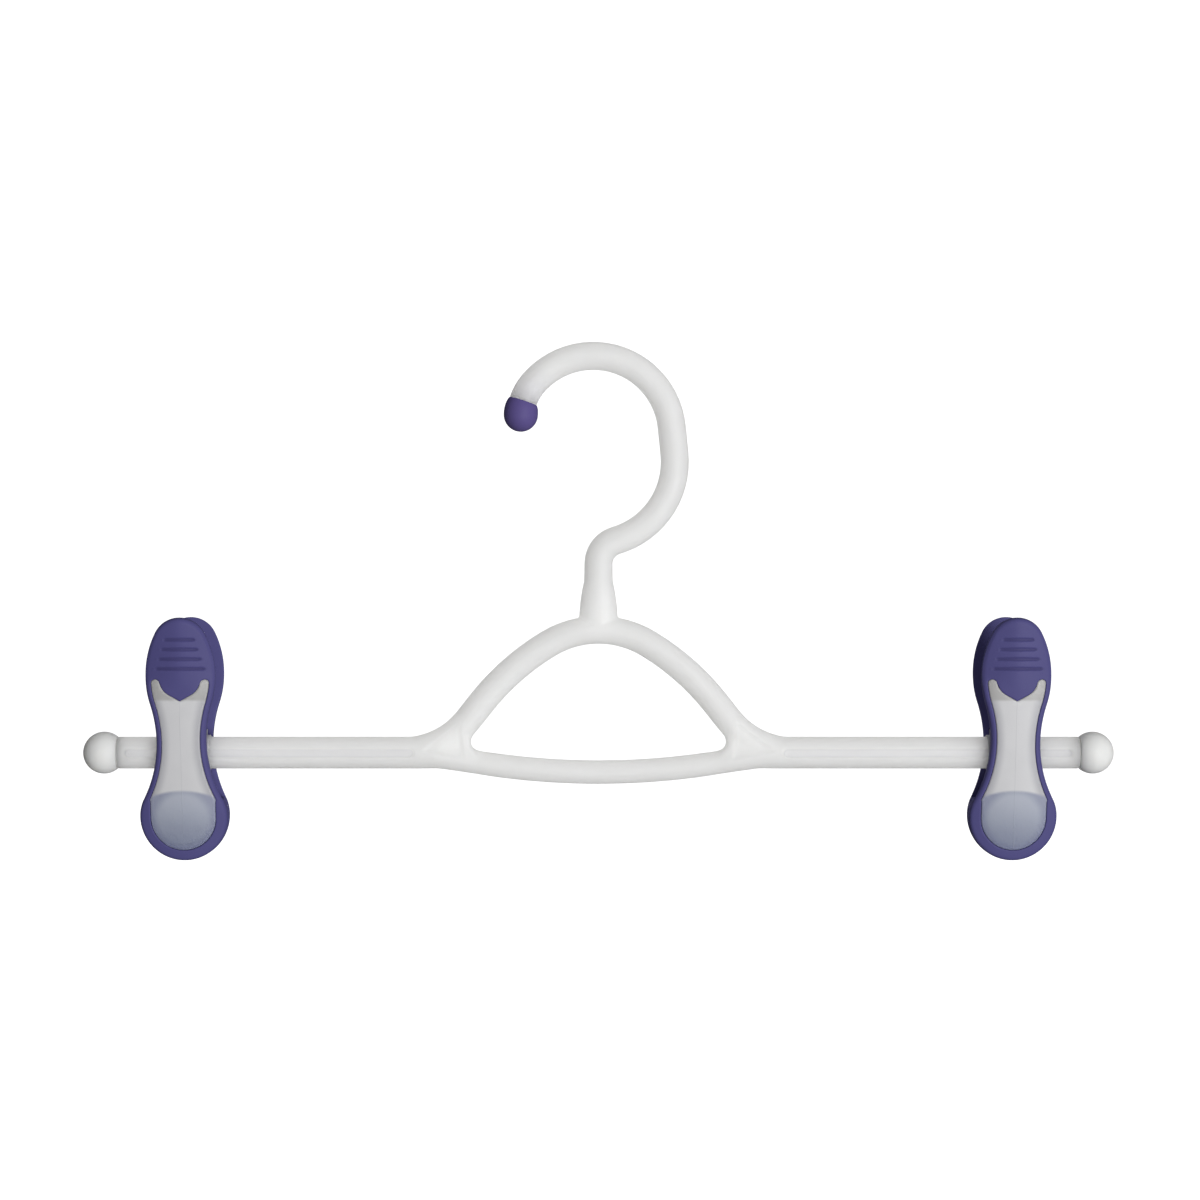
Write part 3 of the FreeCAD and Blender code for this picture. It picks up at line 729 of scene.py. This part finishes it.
def studio():
    """Soft lights, with a floor and a backdrop that only the camera sees."""
    softbox("key", key_light)
    softbox("back", back_light, gloss=False)
    softbox("top", top_light, gloss=False)

    bpy.ops.mesh.primitive_circle_add(
        vertices=floor_sides, radius=floor_r, fill_type="NGON", location=(0, 0, floor_z))
    floor = bpy.context.object
    floor.name = "floor"
    floor.data.materials.append(stage_white())

    bpy.ops.mesh.primitive_uv_sphere_add(
        segments=dome_segments, ring_count=dome_rings, radius=dome_r)
    dome = bpy.context.object
    dome.name = "backdrop"
    dome.data.materials.append(backdrop_white())
    for shape in (floor, dome):
        shape.visible_diffuse = False
        shape.visible_glossy = False
        shape.visible_transmission = False
        shape.visible_volume_scatter = False
        shape.visible_shadow = False

    world = bpy.data.worlds.new("room")
    bpy.context.scene.world = world
    world.use_nodes = True
    room = world.node_tree.nodes["Background"]
    room.inputs["Color"].default_value = white
    room.inputs["Strength"].default_value = ambient
    bpy.context.scene.view_settings.view_transform = "Standard"


def camera():
    lens = bpy.data.cameras.new("camera")
    lens.sensor_fit = "HORIZONTAL"
    lens.angle = 2 * math.atan(view_width / 2 / camera_reach)
    made = new_object("camera", lens)
    made.location = (camera_x, -camera_reach, camera_z)
    made.rotation_euler = (math.radians(90), 0, 0)
    bpy.context.scene.camera = made


def main():
    camera()
    studio()
    body = milky_body("milky_body", body_scatter)
    knob = milky_body("milky_knob", knob_scatter)
    clip = milky_clip()
    wire = spring_wire()
    grip = soft_grip("soft_grip", grip_colours)
    cap_grip = soft_grip("soft_cap", cap_colours)
    add_piece("hanger_body_soft", hanger_body(), ["hanger_body"], body)
    cap = softened(["hook_tip_cap"], cap_finish)
    add_piece("hook_tip_cap_soft", cap, ["hook_tip_cap"], cap_grip)
    jaw_pieces("shell_soft", ["jaw_shell"], clip)
    jaw_pieces("grip_soft", ["handle_grip", "jaw_pad"], grip)
    springs(wire)
    for side in clips:
        ball = side + "_end_knob"
        add_piece(ball + "_soft", softened([ball], knob_finish), [ball], knob)
        dress(nodes[side + "_slider_sleeve"], clip)


main()
